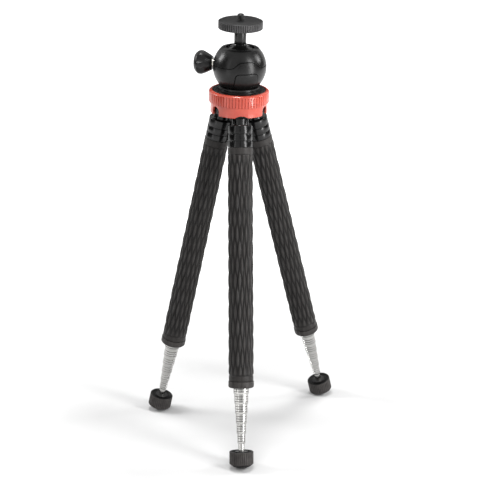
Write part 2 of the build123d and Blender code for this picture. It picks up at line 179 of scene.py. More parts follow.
def paint_shade_by_radius(material, inner, outer, dark, light):
    """Paints shade on a turned piece inside one radius and a highlight outside another, in millimetres."""
    nodes, links = material.node_tree.nodes, material.node_tree.links
    base = nodes["Principled BSDF"].inputs["Base Color"]
    shade = base.links[0].from_socket
    place = nodes.new("ShaderNodeAttribute")
    place.attribute_name = "upright"
    across = nodes.new("ShaderNodeVectorMath")
    across.operation = "MULTIPLY"
    across.inputs[1].default_value = (1, 1, 0)
    radius = nodes.new("ShaderNodeVectorMath")
    radius.operation = "LENGTH"
    amount = nodes.new("ShaderNodeMapRange")
    amount.inputs["From Min"].default_value = inner / 1000
    amount.inputs["From Max"].default_value = outer / 1000
    amount.inputs["To Min"].default_value = dark
    amount.inputs["To Max"].default_value = light
    shaded = nodes.new("ShaderNodeVectorMath")
    shaded.operation = "SCALE"
    links.new(place.outputs["Vector"], across.inputs[0])
    links.new(across.outputs["Vector"], radius.inputs[0])
    links.new(radius.outputs["Value"], amount.inputs["Value"])
    links.new(shade, shaded.inputs[0])
    links.new(amount.outputs["Result"], shaded.inputs["Scale"])
    links.new(shaded.outputs["Vector"], base)


# %% Black finishes
satin_black = new_finish("satin_black", (0.006, 0.0058, 0.0058), 0.27, specular=0.26)
vary_color(satin_black, grain(satin_black, 9), (0.0045, 0.0044, 0.0044), (0.0075, 0.0073, 0.0073))
vary_roughness(satin_black, grain(satin_black, 14), 0.25, 0.35)
raise_surface(satin_black, grain(satin_black, 0.35), 0.012)

# Painted shade: a dead black for the bottom of the housing's grooves.
painted_seam_shade = new_finish("painted_seam_shade", (0.0015, 0.0015, 0.0015), 0.7, specular=0.05)
vary_color(painted_seam_shade, grain(painted_seam_shade, 4), (0.001, 0.001, 0.001), (0.002, 0.002, 0.002))

gloss_black = new_finish("gloss_black", (0.004, 0.004, 0.004), 0.2, specular=0.3)
vary_color(gloss_black, grain(gloss_black, 12), (0.003, 0.003, 0.003), (0.005, 0.005, 0.005))
vary_roughness(gloss_black, grain(gloss_black, 7, detail=5), 0.16, 0.25)
raise_surface(gloss_black, grain(gloss_black, 2.5), 0.004)

plate_black = new_finish("plate_black", (0.018, 0.0175, 0.018), 0.34, specular=0.3)
vary_color(plate_black, grain(plate_black, 6), (0.014, 0.0137, 0.014), (0.021, 0.0204, 0.021))
vary_roughness(plate_black, grain(plate_black, 11), 0.34, 0.5)
raise_surface(plate_black, grain(plate_black, 0.25), 0.01)
# Painted shade and highlight: darker inside 20.3 mm from the axis, over the plate's faces and the knurl's valleys,
# and lighter on the knurl's crests.
paint_shade_by_radius(plate_black, 20.3, 20.65, 0.2, 3.2)
print("black finishes:", satin_black.name, gloss_black.name, plate_black.name)

# %% The red ring
coral_red = new_finish("coral_red", (0.6, 0.082, 0.05), 0.26)
vary_color(coral_red, grain(coral_red, 8), (0.55, 0.072, 0.043), (0.64, 0.092, 0.056))
vary_roughness(coral_red, grain(coral_red, 12), 0.16, 0.26)
raise_surface(coral_red, grain(coral_red, 0.3), 0.01)
# Painted shade and highlight: darker inside 28.15 mm from the axis, which takes in the rib valleys and the smooth
# skirt, and lighter beyond 28.5 mm.
paint_shade_by_radius(coral_red, 28.15, 28.5, 0.82, 1.02)
print("ring finish:", coral_red.name)

# %% Metals
steel = new_finish("steel", (0.62, 0.615, 0.6), 0.16, metallic=1.0)
vary_color(steel, grain(steel, 10), (0.4, 0.397, 0.385), (0.53, 0.526, 0.512))
vary_roughness(steel, grain(steel, 0.5, stretch=(1, 1, 0.02), follow=True), 0.1, 0.22)
raise_surface(steel, grain(steel, 0.4, stretch=(1, 1, 0.01), follow=True), 0.0012)

# Dark steel for the camera screw, also used as painted shade at the bottom of the tubes' rolled rings.
dark_steel_and_groove_shade = new_finish("dark_steel_and_groove_shade", (0.13, 0.13, 0.13), 0.3, metallic=1.0)
vary_color(dark_steel_and_groove_shade, grain(dark_steel_and_groove_shade, 2), (0.035, 0.035, 0.034), (0.07, 0.07, 0.068))
vary_roughness(dark_steel_and_groove_shade, grain(dark_steel_and_groove_shade, 1.5), 0.24, 0.4)

bare_steel = new_finish("bare_steel", (0.62, 0.62, 0.61), 0.28, metallic=1.0)
vary_color(bare_steel, grain(bare_steel, 3), (0.56, 0.56, 0.55), (0.67, 0.67, 0.66))
vary_roughness(bare_steel, grain(bare_steel, 1.2), 0.2, 0.36)

plated_brass = new_finish("plated_brass", (0.7, 0.68, 0.62), 0.26, metallic=1.0)
vary_color(plated_brass, grain(plated_brass, 3), (0.64, 0.615, 0.55), (0.75, 0.73, 0.68))
vary_roughness(plated_brass, grain(plated_brass, 1.2), 0.2, 0.34)
print("metals:", steel.name, dark_steel_and_groove_shade.name, bare_steel.name, plated_brass.name)

# %% Rubber and plastic
sleeve = new_finish("sleeve", (0.024, 0.0222, 0.0212), 0.4, specular=0.16)
streaks = grain(sleeve, 2.6, stretch=(1, 1, 0.18), follow=True)
vary_color(sleeve, streaks, (0.018, 0.0165, 0.0158), (0.031, 0.0287, 0.0276))
vary_roughness(sleeve, grain(sleeve, 9), 0.36, 0.5)
raise_surface(sleeve, grain(sleeve, 0.9, stretch=(1, 1, 0.12), follow=True), 0.2)
# Painted shade and highlight: darker in the valleys between the leaves, lighter on their crests and on the plain
# bands.
paint_shade_by_radius(sleeve, 10.9, 11.9, 0.3, 1.6)

foot_rubber = new_finish("foot_rubber", (0.022, 0.0203, 0.0196), 0.46, specular=0.2)
vary_color(foot_rubber, grain(foot_rubber, 4), (0.016, 0.0145, 0.014), (0.026, 0.024, 0.023))
vary_roughness(foot_rubber, grain(foot_rubber, 6), 0.42, 0.6)
raise_surface(foot_rubber, grain(foot_rubber, 0.25), 0.02)
# Painted shade and highlight: darker inside 10.7 mm from the axis, on the sunk top, the sole and the rib valleys,
# and lighter on the rib crests.
paint_shade_by_radius(foot_rubber, 10.7, 11.25, 0.1, 2.2)

plastic = new_finish("plastic", (0.014, 0.0138, 0.0138), 0.42, specular=0.25)
vary_color(plastic, grain(plastic, 5), (0.011, 0.0108, 0.0108), (0.018, 0.0176, 0.0176))
vary_roughness(plastic, grain(plastic, 8), 0.36, 0.5)
raise_surface(plastic, grain(plastic, 0.3), 0.01)
print("soft finishes:", sleeve.name, foot_rubber.name, plastic.name)

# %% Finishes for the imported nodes
FINISH = {
    "black": satin_black,
    "red": coral_red,
    "steel": bare_steel,
    "brass": plated_brass,
    "plastic": plastic,
    "grip": sleeve,
    "rubber": foot_rubber,
}
slots = {part["node"]: part["material_slot"] for part in frame["record"]["subparts"]}
for name, node in frame["nodes"].items():
    node.data.materials.clear()
    node.data.materials.append(FINISH[slots[name]])
print("finished", len(frame["nodes"]), "packed nodes")

# %% [markdown]
# ## Round parts
#
# Almost everything here was turned on a lathe or moulded in a round tool. The quick way to make such a
# piece is to add a circle and extrude it from one radius and height to the next, which is what a lathe
# tool does to a bar. Spin would do it too, from a drawn outline, but extruding keeps the rings of
# vertices level, so that ribs and grooves can be picked by their height afterwards.

# %% A lathe made of extrudes
def only(piece):
    """Selects one piece and nothing else."""
    bpy.ops.object.select_all(action="DESELECT")
    piece.select_set(True)
    bpy.context.view_layer.objects.active = piece


def lathe(name, profile, segments=96, hollow=False):
    """Turns a piece about Z from (radius, height) points in millimetres."""
    radius, height = profile[0]
    bpy.ops.object.select_all(action="DESELECT")
    bpy.ops.mesh.primitive_circle_add(
        vertices=segments, radius=radius / 1000, location=(0, 0, height / 1000)
    )
    piece = bpy.context.object
    piece.name = name
    bpy.ops.object.mode_set(mode="EDIT")
    bpy.ops.mesh.select_mode(type="VERT")
    bpy.ops.mesh.select_all(action="SELECT")
    for next_radius, next_height in profile[1:]:
        rise = (next_height - height) / 1000
        bpy.ops.mesh.extrude_region_move(TRANSFORM_OT_translate={"value": (0, 0, rise)})
        ratio = next_radius / radius
        bpy.ops.transform.resize(
            value=(ratio, ratio, 1), center_override=(0, 0, next_height / 1000)
        )
        radius, height = next_radius, next_height
    bpy.ops.mesh.select_all(action="DESELECT")
    bpy.ops.mesh.select_non_manifold()
    if hollow:
        bpy.ops.mesh.bridge_edge_loops()
    else:
        bpy.ops.mesh.fill_holes(sides=0)
    bpy.ops.mesh.select_all(action="SELECT")
    bpy.ops.mesh.normals_make_consistent(inside=False)
    bpy.ops.object.mode_set(mode="OBJECT")
    bpy.ops.object.transform_apply()
    return piece


def pick_faces(piece, wanted):
    """Goes into edit mode with the faces that pass a test selected."""
    only(piece)
    bpy.ops.object.mode_set(mode="EDIT")
    bpy.ops.mesh.select_mode(type="FACE")
    bpy.ops.mesh.select_all(action="DESELECT")
    bpy.ops.object.mode_set(mode="OBJECT")
    for face in piece.data.polygons:
        face.select = wanted(face)
    bpy.ops.object.mode_set(mode="EDIT")


def rounded(piece, width, segments=2, angle=40):
    """Breaks the sharp edges, as a deburring tool does, and shades the rest smooth."""
    only(piece)
    bevel = piece.modifiers.new("edges", "BEVEL")
    bevel.width = width / 1000
    bevel.segments = segments
    bevel.limit_method = "ANGLE"
    bevel.angle_limit = radians(angle)
    bpy.ops.object.modifier_apply(modifier=bevel.name)
    bpy.ops.object.shade_smooth_by_angle(angle=radians(35))


def seat(piece, matrix, body, *nodes):
    """Carries a finished piece to its place, for the CAD nodes it stands for."""
    only(piece)
    bpy.ops.object.transform_apply()
    upright = piece.data.attributes.new("upright", "FLOAT_VECTOR", "POINT")
    upright.data.foreach_set("vector", [c for vertex in piece.data.vertices for c in vertex.co])
    piece.data.transform(matrix)
    piece.data.update()
    if nodes:
        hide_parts(*nodes)
    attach(piece, body)
    print(piece.name, len(piece.data.polygons), "faces, rides on", body)


# %% [markdown]
# ## The camera plate
#
# The plate is a black turned disc with a knurled edge, which fingers turn against the camera. A knurl
# could be a bump in the material, but its notches show in the plate's outline, so here they are real: two
# of every four strips of the edge are inset and pushed in.

# %% Camera plate
PLATE_RADIUS = 20.7
PLATE_TOP = 80.2
KNURLS = 60
STRIPS = 4
plate = lathe(
    "plate",
    [
        (3.6, 72.1), (20.3, 72.1), (PLATE_RADIUS, 72.5), (PLATE_RADIUS, 79.1),
        (18.4, 80.15), (18.1, PLATE_TOP), (3.6, PLATE_TOP),
    ],
    segments=STRIPS * KNURLS,
    hollow=True,
)


def side_strip(face, ribs, picked):
    """True for the picked ones of the four strips that each rib has on an upright wall."""
    turn = atan2(face.center.y, face.center.x) / (2 * pi) * (STRIPS * ribs)
    return abs(face.normal.z) < 0.2 and int(turn // 1) % STRIPS in picked


pick_faces(plate, lambda f: f.center.xy.length > 0.020 and side_strip(f, KNURLS, (0, 1)))
bpy.ops.mesh.inset(thickness=0.00012, depth=-0.00042)
bpy.ops.object.mode_set(mode="OBJECT")
rounded(plate, 0.12, segments=1)
plate.data.materials.append(plate_black)
seat(plate, hub_frame, "plate", "camera_plate")

# %% Camera screw
def arc(radius, height, start, stop, steps):
    """Profile points on a round outline, by angle up from the level, in degrees."""
    turns = [radians(start + (stop - start) * i / steps) for i in range(steps + 1)]
    return [(radius * cos(t), height + radius * sin(t)) for t in turns]


THREAD_PITCH = 1.27
thread = [(3.0, 64.2), (3.0, PLATE_TOP)]
for turn in range(4):
    root = 80.35 + THREAD_PITCH * turn
    thread += [(2.6, root), (3.17, root + 0.5), (3.17, root + 0.75), (2.6, root + 1.25)]
screw = lathe("stud", thread + [(2.5, 85.55), (2.3, 85.8)], segments=48)
rounded(screw, 0.05, segments=1, angle=50)
screw.data.materials.append(dark_steel_and_groove_shade)
seat(screw, hub_frame, "ball", "camera_screw")

# %% [markdown]
# ## The ball and its neck
#
# The ball is one glossy black turning with a short flare, and a straight neck stands on it. Both mirror
# the studio as narrow upright streaks, so they need many segments and a smooth outline more than they
# need detail.

# %% Ball
BALL_HEIGHT = 35.9
BALL_RADIUS = 21.2
NECK_FOOT = 57.9
ball = lathe(
    "ball_body",
    arc(BALL_RADIUS, BALL_HEIGHT, -89, 68.5, 40)
    + [(7.3, 55.9), (6.8, 56.4), (6.1, 57.3), (5.75, NECK_FOOT)],
    segments=128,
)
only(ball)
bpy.ops.object.shade_smooth_by_angle(angle=radians(40))
ball.data.materials.append(gloss_black)
seat(ball, hub_frame, "ball", "ball")

# %% Neck
NECK_RADIUS = 5.65
neck = lathe(
    "neck",
    [(4.0, 46.0), (4.0, NECK_FOOT), (NECK_RADIUS, NECK_FOOT), (NECK_RADIUS, 71.6), (5.25, 72.0)],
    segments=96,
)
rounded(neck, 0.1)
neck.data.materials.append(gloss_black)
seat(neck, hub_frame, "ball", "ball_stem")

# %% [markdown]
# ## The ball's housing
#
# Two moulded shells close round the ball. Their parting line runs level and steps up into a tab at the
# front, with a raised panel below it. The shells are turned as one, and then a solid with the tab's
# outline is used twice with the Boolean modifier: what lies inside it is the upper shell, what lies
# outside is the lower one. First, though, a fine groove is cut along the parting line and round the
# panel, and its bottom is painted dead black, a painted shade that makes both show as a dark line.
#
# Four helpers come first. One runs the Boolean modifier and one turns a tool to where it cuts. The other
# two make a solid from a flat outline and round the corners of such an outline.

# %% Cutting tools
def boolean(piece, tool, operation, keep_tool=False):
    """Cuts, joins or crosses a piece with a tool, which is gone afterwards unless it is kept."""
    only(piece)
    cut = piece.modifiers.new("cut", "BOOLEAN")
    cut.operation = operation
    cut.object = tool
    cut.solver = "EXACT"
    bpy.ops.object.modifier_apply(modifier=cut.name)
    if not keep_tool:
        bpy.data.objects.remove(tool, do_unlink=True)


def settled(azimuth=0):
    """Applies the place of the piece just added and turns it about the upright axis."""
    piece = bpy.context.object
    bpy.ops.object.transform_apply()
    piece.data.transform(Matrix.Rotation(radians(azimuth), 4, "Z"))
    return piece


def facing_prism(name, outline, azimuth, depth=60):
    """A flat outline of (across, up) points in millimetres, pushed out from the hub's axis."""
    bpy.ops.object.select_all(action="DESELECT")
    bpy.ops.mesh.primitive_circle_add(vertices=len(outline), radius=0.001)
    prism = bpy.context.object
    prism.name = name
    for vertex, (across, up) in zip(prism.data.vertices, outline):
        vertex.co = (across / 1000, 0, up / 1000)
    bpy.ops.object.mode_set(mode="EDIT")
    bpy.ops.mesh.select_all(action="SELECT")
    bpy.ops.mesh.edge_face_add()
    bpy.ops.mesh.extrude_region_move(TRANSFORM_OT_translate={"value": (0, -depth / 1000, 0)})
    bpy.ops.mesh.select_all(action="SELECT")
    bpy.ops.mesh.normals_make_consistent(inside=False)
    bpy.ops.object.mode_set(mode="OBJECT")
    prism.data.transform(Matrix.Rotation(radians(azimuth), 4, "Z"))
    return prism


def soft_corners(points, radius, steps=5):
    """Rounds the inner corners of an open run of points."""
    run = [Vector(points[0])]
    for before, corner, after in zip(points, points[1:], points[2:]):
        corner = Vector(corner)
        a = (Vector(before) - corner).normalized()
        b = (Vector(after) - corner).normalized()
        for i in range(steps + 1):
            t = i / steps
            run.append(corner + a * radius * (1 - t) ** 2 + b * radius * t**2)
    return run + [Vector(points[-1])]


# %% [markdown]
# The shell is a round body with a hollow for the ball, a foot that stands on the base plate, and an
# opening above.

# %% The shell in one piece
SHELL_RADIUS = 25.0
SHELL_INSIDE = 21.5
shell = lathe(
    "shell",
    [(21.8, 14.25), (21.8, 15.8), (19.3, 15.8), (19.3, 17.8)]
    + arc(SHELL_RADIUS, BALL_HEIGHT, -46.4, 46.5, 44)
    + [(13.4, 54.85), (13.2, 54.6), (13.2, 52.9)]
    + arc(SHELL_INSIDE, BALL_HEIGHT, 52.0, -48, 24)
    + [(14.4, 17.8), (16.45, 17.0), (16.45, 14.25)],
    segments=160,
    hollow=True,
)
print("shell", len(shell.data.polygons), "faces")

# %% [markdown]
# The tab faces forwards and a little to the right. The parting line is level beside it and all round the
# back. One solid stands for all that lies above the line: a prism in front, joined to a cube behind.

# %% What lies above the parting line
TAB_AZIMUTH = 12.0
PARTING = 38.8
TAB_TOP = 45.1
REACH = 40
tab_line = soft_corners(
    [
        (-REACH, PARTING), (-13.8, PARTING), (-6.4, TAB_TOP),
        (6.4, TAB_TOP), (13.8, PARTING), (REACH, PARTING),
    ],
    3.0,
)
above = facing_prism("above", tab_line + [Vector((REACH, 70)), Vector((-REACH, 70))], TAB_AZIMUTH)
bpy.ops.object.select_all(action="DESELECT")
bpy.ops.mesh.primitive_cube_add(size=0.1, location=(0, 0.05, (PARTING + 50) / 1000))
boolean(above, settled(TAB_AZIMUTH), "UNION")
print("parting line has", len(tab_line), "points")

# %% [markdown]
# The groove is a narrow band along the parting line, and a moat a little wider than the panel joins it.
# Both are crossed with a thin round skin, so that they only scratch the shell. The skin carries the dead
# black finish, which paints shade into the grooves, and the Boolean modifier leaves it on all that the
# skin has cut.

# %% The grooves
GROOVE = 0.75
half = Vector((0, GROOVE / 2))
groove = facing_prism(
    "groove",
    [point + half for point in tab_line] + [point - half for point in reversed(tab_line)],
    TAB_AZIMUTH,
)
bpy.ops.object.select_all(action="DESELECT")
bpy.ops.mesh.primitive_cube_add(size=0.1, location=(0, 0.05, PARTING / 1000))
bpy.context.object.scale.z = GROOVE / 100
boolean(groove, settled(TAB_AZIMUTH), "UNION")
moat_line = soft_corners([(-11.2, 21.5), (-11.2, 34.6), (11.2, 34.6), (11.2, 21.5)], 4.6)
boolean(groove, facing_prism("moat", moat_line, TAB_AZIMUTH), "UNION")
skin = lathe(
    "skin",
    arc(26.5, BALL_HEIGHT, -40, 30, 20) + arc(24.3, BALL_HEIGHT, 30, -40, 20),
    segments=160,
    hollow=True,
)
boolean(skin, groove, "INTERSECT")
for piece in (shell, skin):
    piece.data.materials.append(satin_black)
    piece.data.materials.append(painted_seam_shade)
only(skin)
bpy.ops.object.mode_set(mode="EDIT")
bpy.ops.mesh.select_all(action="SELECT")
skin.active_material_index = 1
bpy.ops.object.material_slot_assign()
bpy.ops.object.mode_set(mode="OBJECT")
boolean(shell, skin, "DIFFERENCE")
print("shell with grooves", len(shell.data.polygons), "faces")

# %% Upper and lower shell
upper = shell.copy()
upper.data = shell.data.copy()
upper.name = "shell_upper"
bpy.context.scene.collection.objects.link(upper)
boolean(upper, above, "INTERSECT", keep_tool=True)
boolean(shell, above, "DIFFERENCE")
shell.name = "shell_lower"
print("cut into", upper.name, "and", shell.name)

# %% [markdown]
# The panel is a patch of a slightly larger round body, cut out with the panel's outline. It stands proud
# of the lower shell by less than half a millimetre and is joined to it.

# %% Panel
panel = lathe(
    "panel",
    arc(25.45, BALL_HEIGHT, -50, 10, 30) + arc(22.5, BALL_HEIGHT, 10, -50, 30),
    segments=160,
    hollow=True,
)
panel_line = soft_corners([(-10.6, 21.5), (-10.6, 34.0), (10.6, 34.0), (10.6, 21.5)], 4.0)
boolean(panel, facing_prism("panel_window", panel_line, TAB_AZIMUTH), "INTERSECT")
panel.data.materials.append(satin_black)
rounded(panel, 0.3, segments=3)
for piece in (upper, shell):
    rounded(piece, 0.12)
only(panel)
shell.select_set(True)
bpy.context.view_layer.objects.active = shell
bpy.ops.object.join()
for piece, node in ((upper, "housing_upper"), (shell, "housing_lower")):
    seat(piece, hub_frame, "hub", node)

# %% [markdown]
# ## The base plate and the lock ring
#
# A flat black disc closes the hub from above. Round it sits the coral-red ring, the only coloured part:
# finely ribbed above for the fingers, smooth below, with an arch over each leg and a deep notch between
# the legs. The ribs are inset like the plate's knurl. The arches and notches are cut by rods and rounded
# bars.

# %% Base plate
base = lathe(
    "base",
    [(3.0, 11.0), (24.55, 11.0), (24.55, 13.9), (24.25, 14.2), (3.0, 14.2)],
    segments=160,
    hollow=True,
)
rounded(base, 0.1)
base.data.materials.append(satin_black)
seat(base, hub_frame, "hub", "base_plate")

# %% Lock ring
RIBS = 60
RING_BORE = 24.7
RING_RADIUS = 28.2
SKIRT_RADIUS = 26.6
ring = lathe(
    "ring",
    [
        (RING_BORE, -7.1), (26.3, -7.1), (SKIRT_RADIUS, -6.8), (SKIRT_RADIUS, 2.9), (27.9, 2.9),
        (RING_RADIUS, 3.2), (RING_RADIUS, 12.9), (27.6, 13.6), (26.0, 14.4), (25.3, 14.4),
        (25.0, 14.1), (25.0, 10.8), (22.4, 10.8), (22.4, 8.0), (RING_BORE, 8.0),
    ],
    segments=STRIPS * RIBS,
    hollow=True,
)
pick_faces(
    ring,
    lambda f: f.center.xy.length > 0.0274 and 0.0033 < f.center.z < 0.0128 and side_strip(f, RIBS, (0,)),
)
bpy.ops.mesh.inset(thickness=0.00015, depth=-0.0008, use_individual=True)
bpy.ops.object.mode_set(mode="OBJECT")

# %% Arches and notches of the ring
TURN = 1.0
NOTCH = 4.7
NOTCH_HEIGHT = -3.4
notch_line = [(-NOTCH, -8.1), (-NOTCH, NOTCH_HEIGHT)]
notch_line += [(-NOTCH * cos(t * pi / 16), NOTCH_HEIGHT + NOTCH * sin(t * pi / 16)) for t in range(1, 16)]
notch_line += [(NOTCH, NOTCH_HEIGHT), (NOTCH, -8.1)]
for azimuth in (0, 120, 240):
    bpy.ops.object.select_all(action="DESELECT")
    bpy.ops.mesh.primitive_cylinder_add(
        vertices=96, radius=0.0100, depth=0.02, location=(0, -0.0265, -0.0147), rotation=(pi / 2, 0, 0)
    )
    boolean(ring, settled(azimuth + TURN), "DIFFERENCE")
    boolean(ring, facing_prism("notch", notch_line, azimuth + 60 + TURN), "DIFFERENCE")
rounded(ring, 0.18, angle=50)
ring.data.materials.append(coral_red)
seat(ring, hub_frame, "ring", "lock_ring")

# %% [markdown]
# ## The clamp knob
#
# The knob swells from a narrow foot to a broad head with a low dome, and six scoops let the fingers grip
# it. It is turned about its own axis, which points left and a little back, and the scoops are cut by
# thick rods.

# %% Clamp knob
knob_joint = joints["knob_turn"]
knob_axis = Vector(knob_joint["axis"])
knob_frame = frame_matrix(Vector(knob_joint["pos_m"]), hub_axis.cross(knob_axis), knob_axis)
KNOB_RADIUS = 11.2
SCOOPS = 6
knob = lathe(
    "knob",
    [
        (6.4, 25.9), (7.6, 28.0), (9.2, 31.0), (10.6, 33.8), (KNOB_RADIUS, 35.6), (KNOB_RADIUS, 38.2),
        (10.4, 39.6), (8.9, 41.3), (7.2, 42.5), (4.5, 43.1), (2.0, 43.3), (0.3, 43.3),
    ],
    segments=96,
)
for index in range(SCOOPS):
    bpy.ops.object.select_all(action="DESELECT")
    bpy.ops.mesh.primitive_cylinder_add(
        vertices=96, radius=0.0086, depth=0.020, location=(0.0181, 0, 0.0290)
    )
    boolean(knob, settled(360 / SCOOPS * (index + 0.5)), "DIFFERENCE")
rounded(knob, 0.35, segments=3, angle=30)
knob.data.materials.append(satin_black)
seat(knob, knob_frame, "knob", "clamp_knob")

# %% [markdown]
# ## The legs
#
# Each leg hangs on a flat tongue in a slot of the hub. Below it comes a glossy black collar with two
# turned grooves, then the rubber sleeve, and then the bright tubes. A leg's frame points down the leg, so
# heights in these cells are distances from the hinge. The three legs are alike, so each piece is modelled
# once and copied.

# %% Copies for the three legs
def copies(piece, body_of, nodes_of):
    """Seats a copy of a leg piece, with its own mesh, in each leg's frame."""
    for leg in LEGS:
        twin = piece.copy()
        twin.data = piece.data.copy()
        twin.name = f"{piece.name}_{leg}"
        bpy.context.scene.collection.objects.link(twin)
        seat(twin, leg_frames[leg], body_of(leg), *nodes_of(leg))
    bpy.data.objects.remove(piece, do_unlink=True)


# %% Collar
SLEEVE_BORE = 7.3
COLLAR_RADIUS = 11.44
GROOVE_FLOOR = 10.94
collar_outline = [(7.2, 9.6), (8.0, 10.4), (8.0, 15.8), (10.7, 15.8), (COLLAR_RADIUS, 16.6)]
for start in (23.6, 30.1):
    collar_outline += [(COLLAR_RADIUS, start), (GROOVE_FLOOR, start + 0.12)]
    collar_outline += [(GROOVE_FLOOR, start + 0.55), (COLLAR_RADIUS, start + 0.7)]
collar_outline += [(COLLAR_RADIUS, 36.3), (11.2, 36.6), (SLEEVE_BORE, 36.6)]
collar = lathe("collar", collar_outline, segments=128)
rounded(collar, 0.12, angle=35)
print("collar", len(collar.data.polygons), "faces")

# %% [markdown]
# The tongue is a disc round the hinge pin with a bar below it that reaches down into the collar.

# %% Tongue
bpy.ops.object.select_all(action="DESELECT")
bpy.ops.mesh.primitive_cylinder_add(vertices=64, radius=0.0065, depth=0.0086, rotation=(pi / 2, 0, 0))
tongue = settled()
bpy.ops.object.select_all(action="DESELECT")
bpy.ops.mesh.primitive_cube_add(size=1, location=(-0.0003, 0, 0.0065), scale=(0.0148, 0.0086, 0.013))
boolean(tongue, settled(), "UNION")
rounded(tongue, 0.3)
only(collar)
tongue.select_set(True)
bpy.context.view_layer.objects.active = collar
bpy.ops.object.join()
collar.data.materials.clear()
collar.data.materials.append(gloss_black)
copies(collar, lambda leg: f"leg_{leg}", lambda leg: [f"leg_head_{leg}"])

# %% [markdown]
# ## The rubber sleeve
#
# The sleeve is moulded all over with long pointed leaves in staggered rows. A cylinder of 32 strips and
# short rows gives the points of that lattice. Joining every other point across its faces draws the
# leaves' outlines, and pushing out the points between makes each leaf swell. The outlines are creased, so
# that Subdivision Surface rounds the leaves and keeps the valleys sharp.

# %% Outline of the sleeve
SLEEVE_START = 36.62
SLEEVE_END = 254.55
LEAF_COLUMNS = 32
LEAF_ROW = 14.6
TEXTURE_START = 43.6
TEXTURE_ROWS = 14
VALLEY = 10.75
CREST = 13.2
rows = [(VALLEY, TEXTURE_START + LEAF_ROW * i) for i in range(TEXTURE_ROWS + 1)]
sleeve_piece = lathe(
    "sleeve",
    [(SLEEVE_BORE, SLEEVE_START), (7.4, SLEEVE_START), (11.5, SLEEVE_START), (11.65, 36.8)]
    + [(11.7, 37.2), (11.7, 42.3), (11.6, 42.7), (10.9, 43.1)]
    + rows
    + [(10.9, 248.6), (11.3, 249.2), (11.6, 249.8), (11.6, 254.3)]
    + [(11.4, SLEEVE_END), (7.4, SLEEVE_END), (SLEEVE_BORE, SLEEVE_END)],
    segments=LEAF_COLUMNS,
    hollow=True,
)
print("the sleeve has", len(rows), "rows of", LEAF_COLUMNS, "points")

# %% [markdown]
# As on a chessboard, every other point lies on the outlines of the leaves, and the rest lie in the middle
# of a leaf.

# %% Lattice of the leaves
mesh = sleeve_piece.data
column = {}
for vertex in mesh.vertices:
    along = (vertex.co.z * 1000 - TEXTURE_START) / LEAF_ROW
    around = atan2(vertex.co.y, vertex.co.x) / (2 * pi) * LEAF_COLUMNS
    if vertex.co.xy.length > 0.0105 and -0.01 < along < TEXTURE_ROWS + 0.01:
        column[vertex.index] = (round(around) + round(along)) % 2
only(sleeve_piece)
bpy.ops.object.mode_set(mode="EDIT")
bpy.ops.mesh.select_mode(type="VERT")
bpy.ops.mesh.select_all(action="DESELECT")
bpy.ops.object.mode_set(mode="OBJECT")
for vertex in mesh.vertices:
    vertex.select = column.get(vertex.index) == 0
bpy.ops.object.mode_set(mode="EDIT")
bpy.ops.mesh.vert_connect()
bpy.ops.mesh.select_mode(type="EDGE")
bpy.ops.transform.edge_crease(value=0.8)
bpy.ops.mesh.select_mode(type="VERT")
bpy.ops.mesh.select_all(action="DESELECT")
bpy.ops.object.mode_set(mode="OBJECT")
print("lattice points", len(column))

# %% [markdown]
# Moulded leaves aren't all alike, so their middles wander round and along the sleeve by two slow waves.
# The first and the last row don't wander along it, so that the texture ends in a clean line.

# %% Leaves
WANDER_AROUND = 0.03
WANDER_ALONG = 0.0018
for vertex in mesh.vertices:
    if column.get(vertex.index) == 1:
        around = atan2(vertex.co.y, vertex.co.x)
        wander = sin(7 * around + 900 * vertex.co.z)
        vertex.co = Matrix.Rotation(WANDER_AROUND * wander, 4, "Z") @ vertex.co
        vertex.co.xy *= CREST / VALLEY
        if 0.045 < vertex.co.z < 0.245:
            vertex.co.z += WANDER_ALONG * sin(5 * around - 700 * vertex.co.z)
swell = sleeve_piece.modifiers.new("swell", "SUBSURF")
swell.levels = swell.render_levels = 2
bpy.ops.object.modifier_apply(modifier=swell.name)
bpy.ops.object.shade_smooth_by_angle(angle=radians(50))
sleeve_piece.data.materials.append(sleeve)
copies(sleeve_piece, lambda leg: f"leg_{leg}", lambda leg: [f"grip_{leg}"])

# %% [markdown]
# A plain ring closes the sleeve below.

# %% End ring
end_ring = lathe(
    "end_ring",
    [(SLEEVE_BORE, 254.6), (11.97, 254.6), (11.97, 259.7), (10.97, 260.7), (SLEEVE_BORE, 260.7)],
    segments=96,
    hollow=True,
)
rounded(end_ring, 0.2)
end_ring.data.materials.append(sleeve)
copies(end_ring, lambda leg: f"leg_{leg}", lambda leg: [f"grip_end_{leg}"])

# %% [markdown]
# ## The telescopic tubes
#
# Seven thin tubes slide in each other. The end of each one is rolled in at a few places to hold the next,
# which leaves fine dark rings a few millimetres apart. Between them the steel mirrors whatever is round
# it. The faces at the bottom of the rolled rings get a darker finish, which paints shade into them.

# %% Outline of a tube
TUBE_WALL = 0.62
ROLL_PITCH = 2.35
ROLL_DEPTH = 0.2


def rolled_outline(radius, top, end, rolls):
    """Outline of a tube with rolled rings near its end."""
    outline = [(radius - TUBE_WALL, top), (radius, top)]
    for roll in range(rolls, 0, -1):
        bottom = end - ROLL_PITCH * roll
        outline += [
            (radius, bottom - 0.3), (radius - ROLL_DEPTH, bottom - 0.14),
            (radius - ROLL_DEPTH, bottom + 0.14), (radius, bottom + 0.3),
        ]
    return outline + [(radius, end - 0.45), (radius - 0.2, end), (radius - TUBE_WALL, end)]


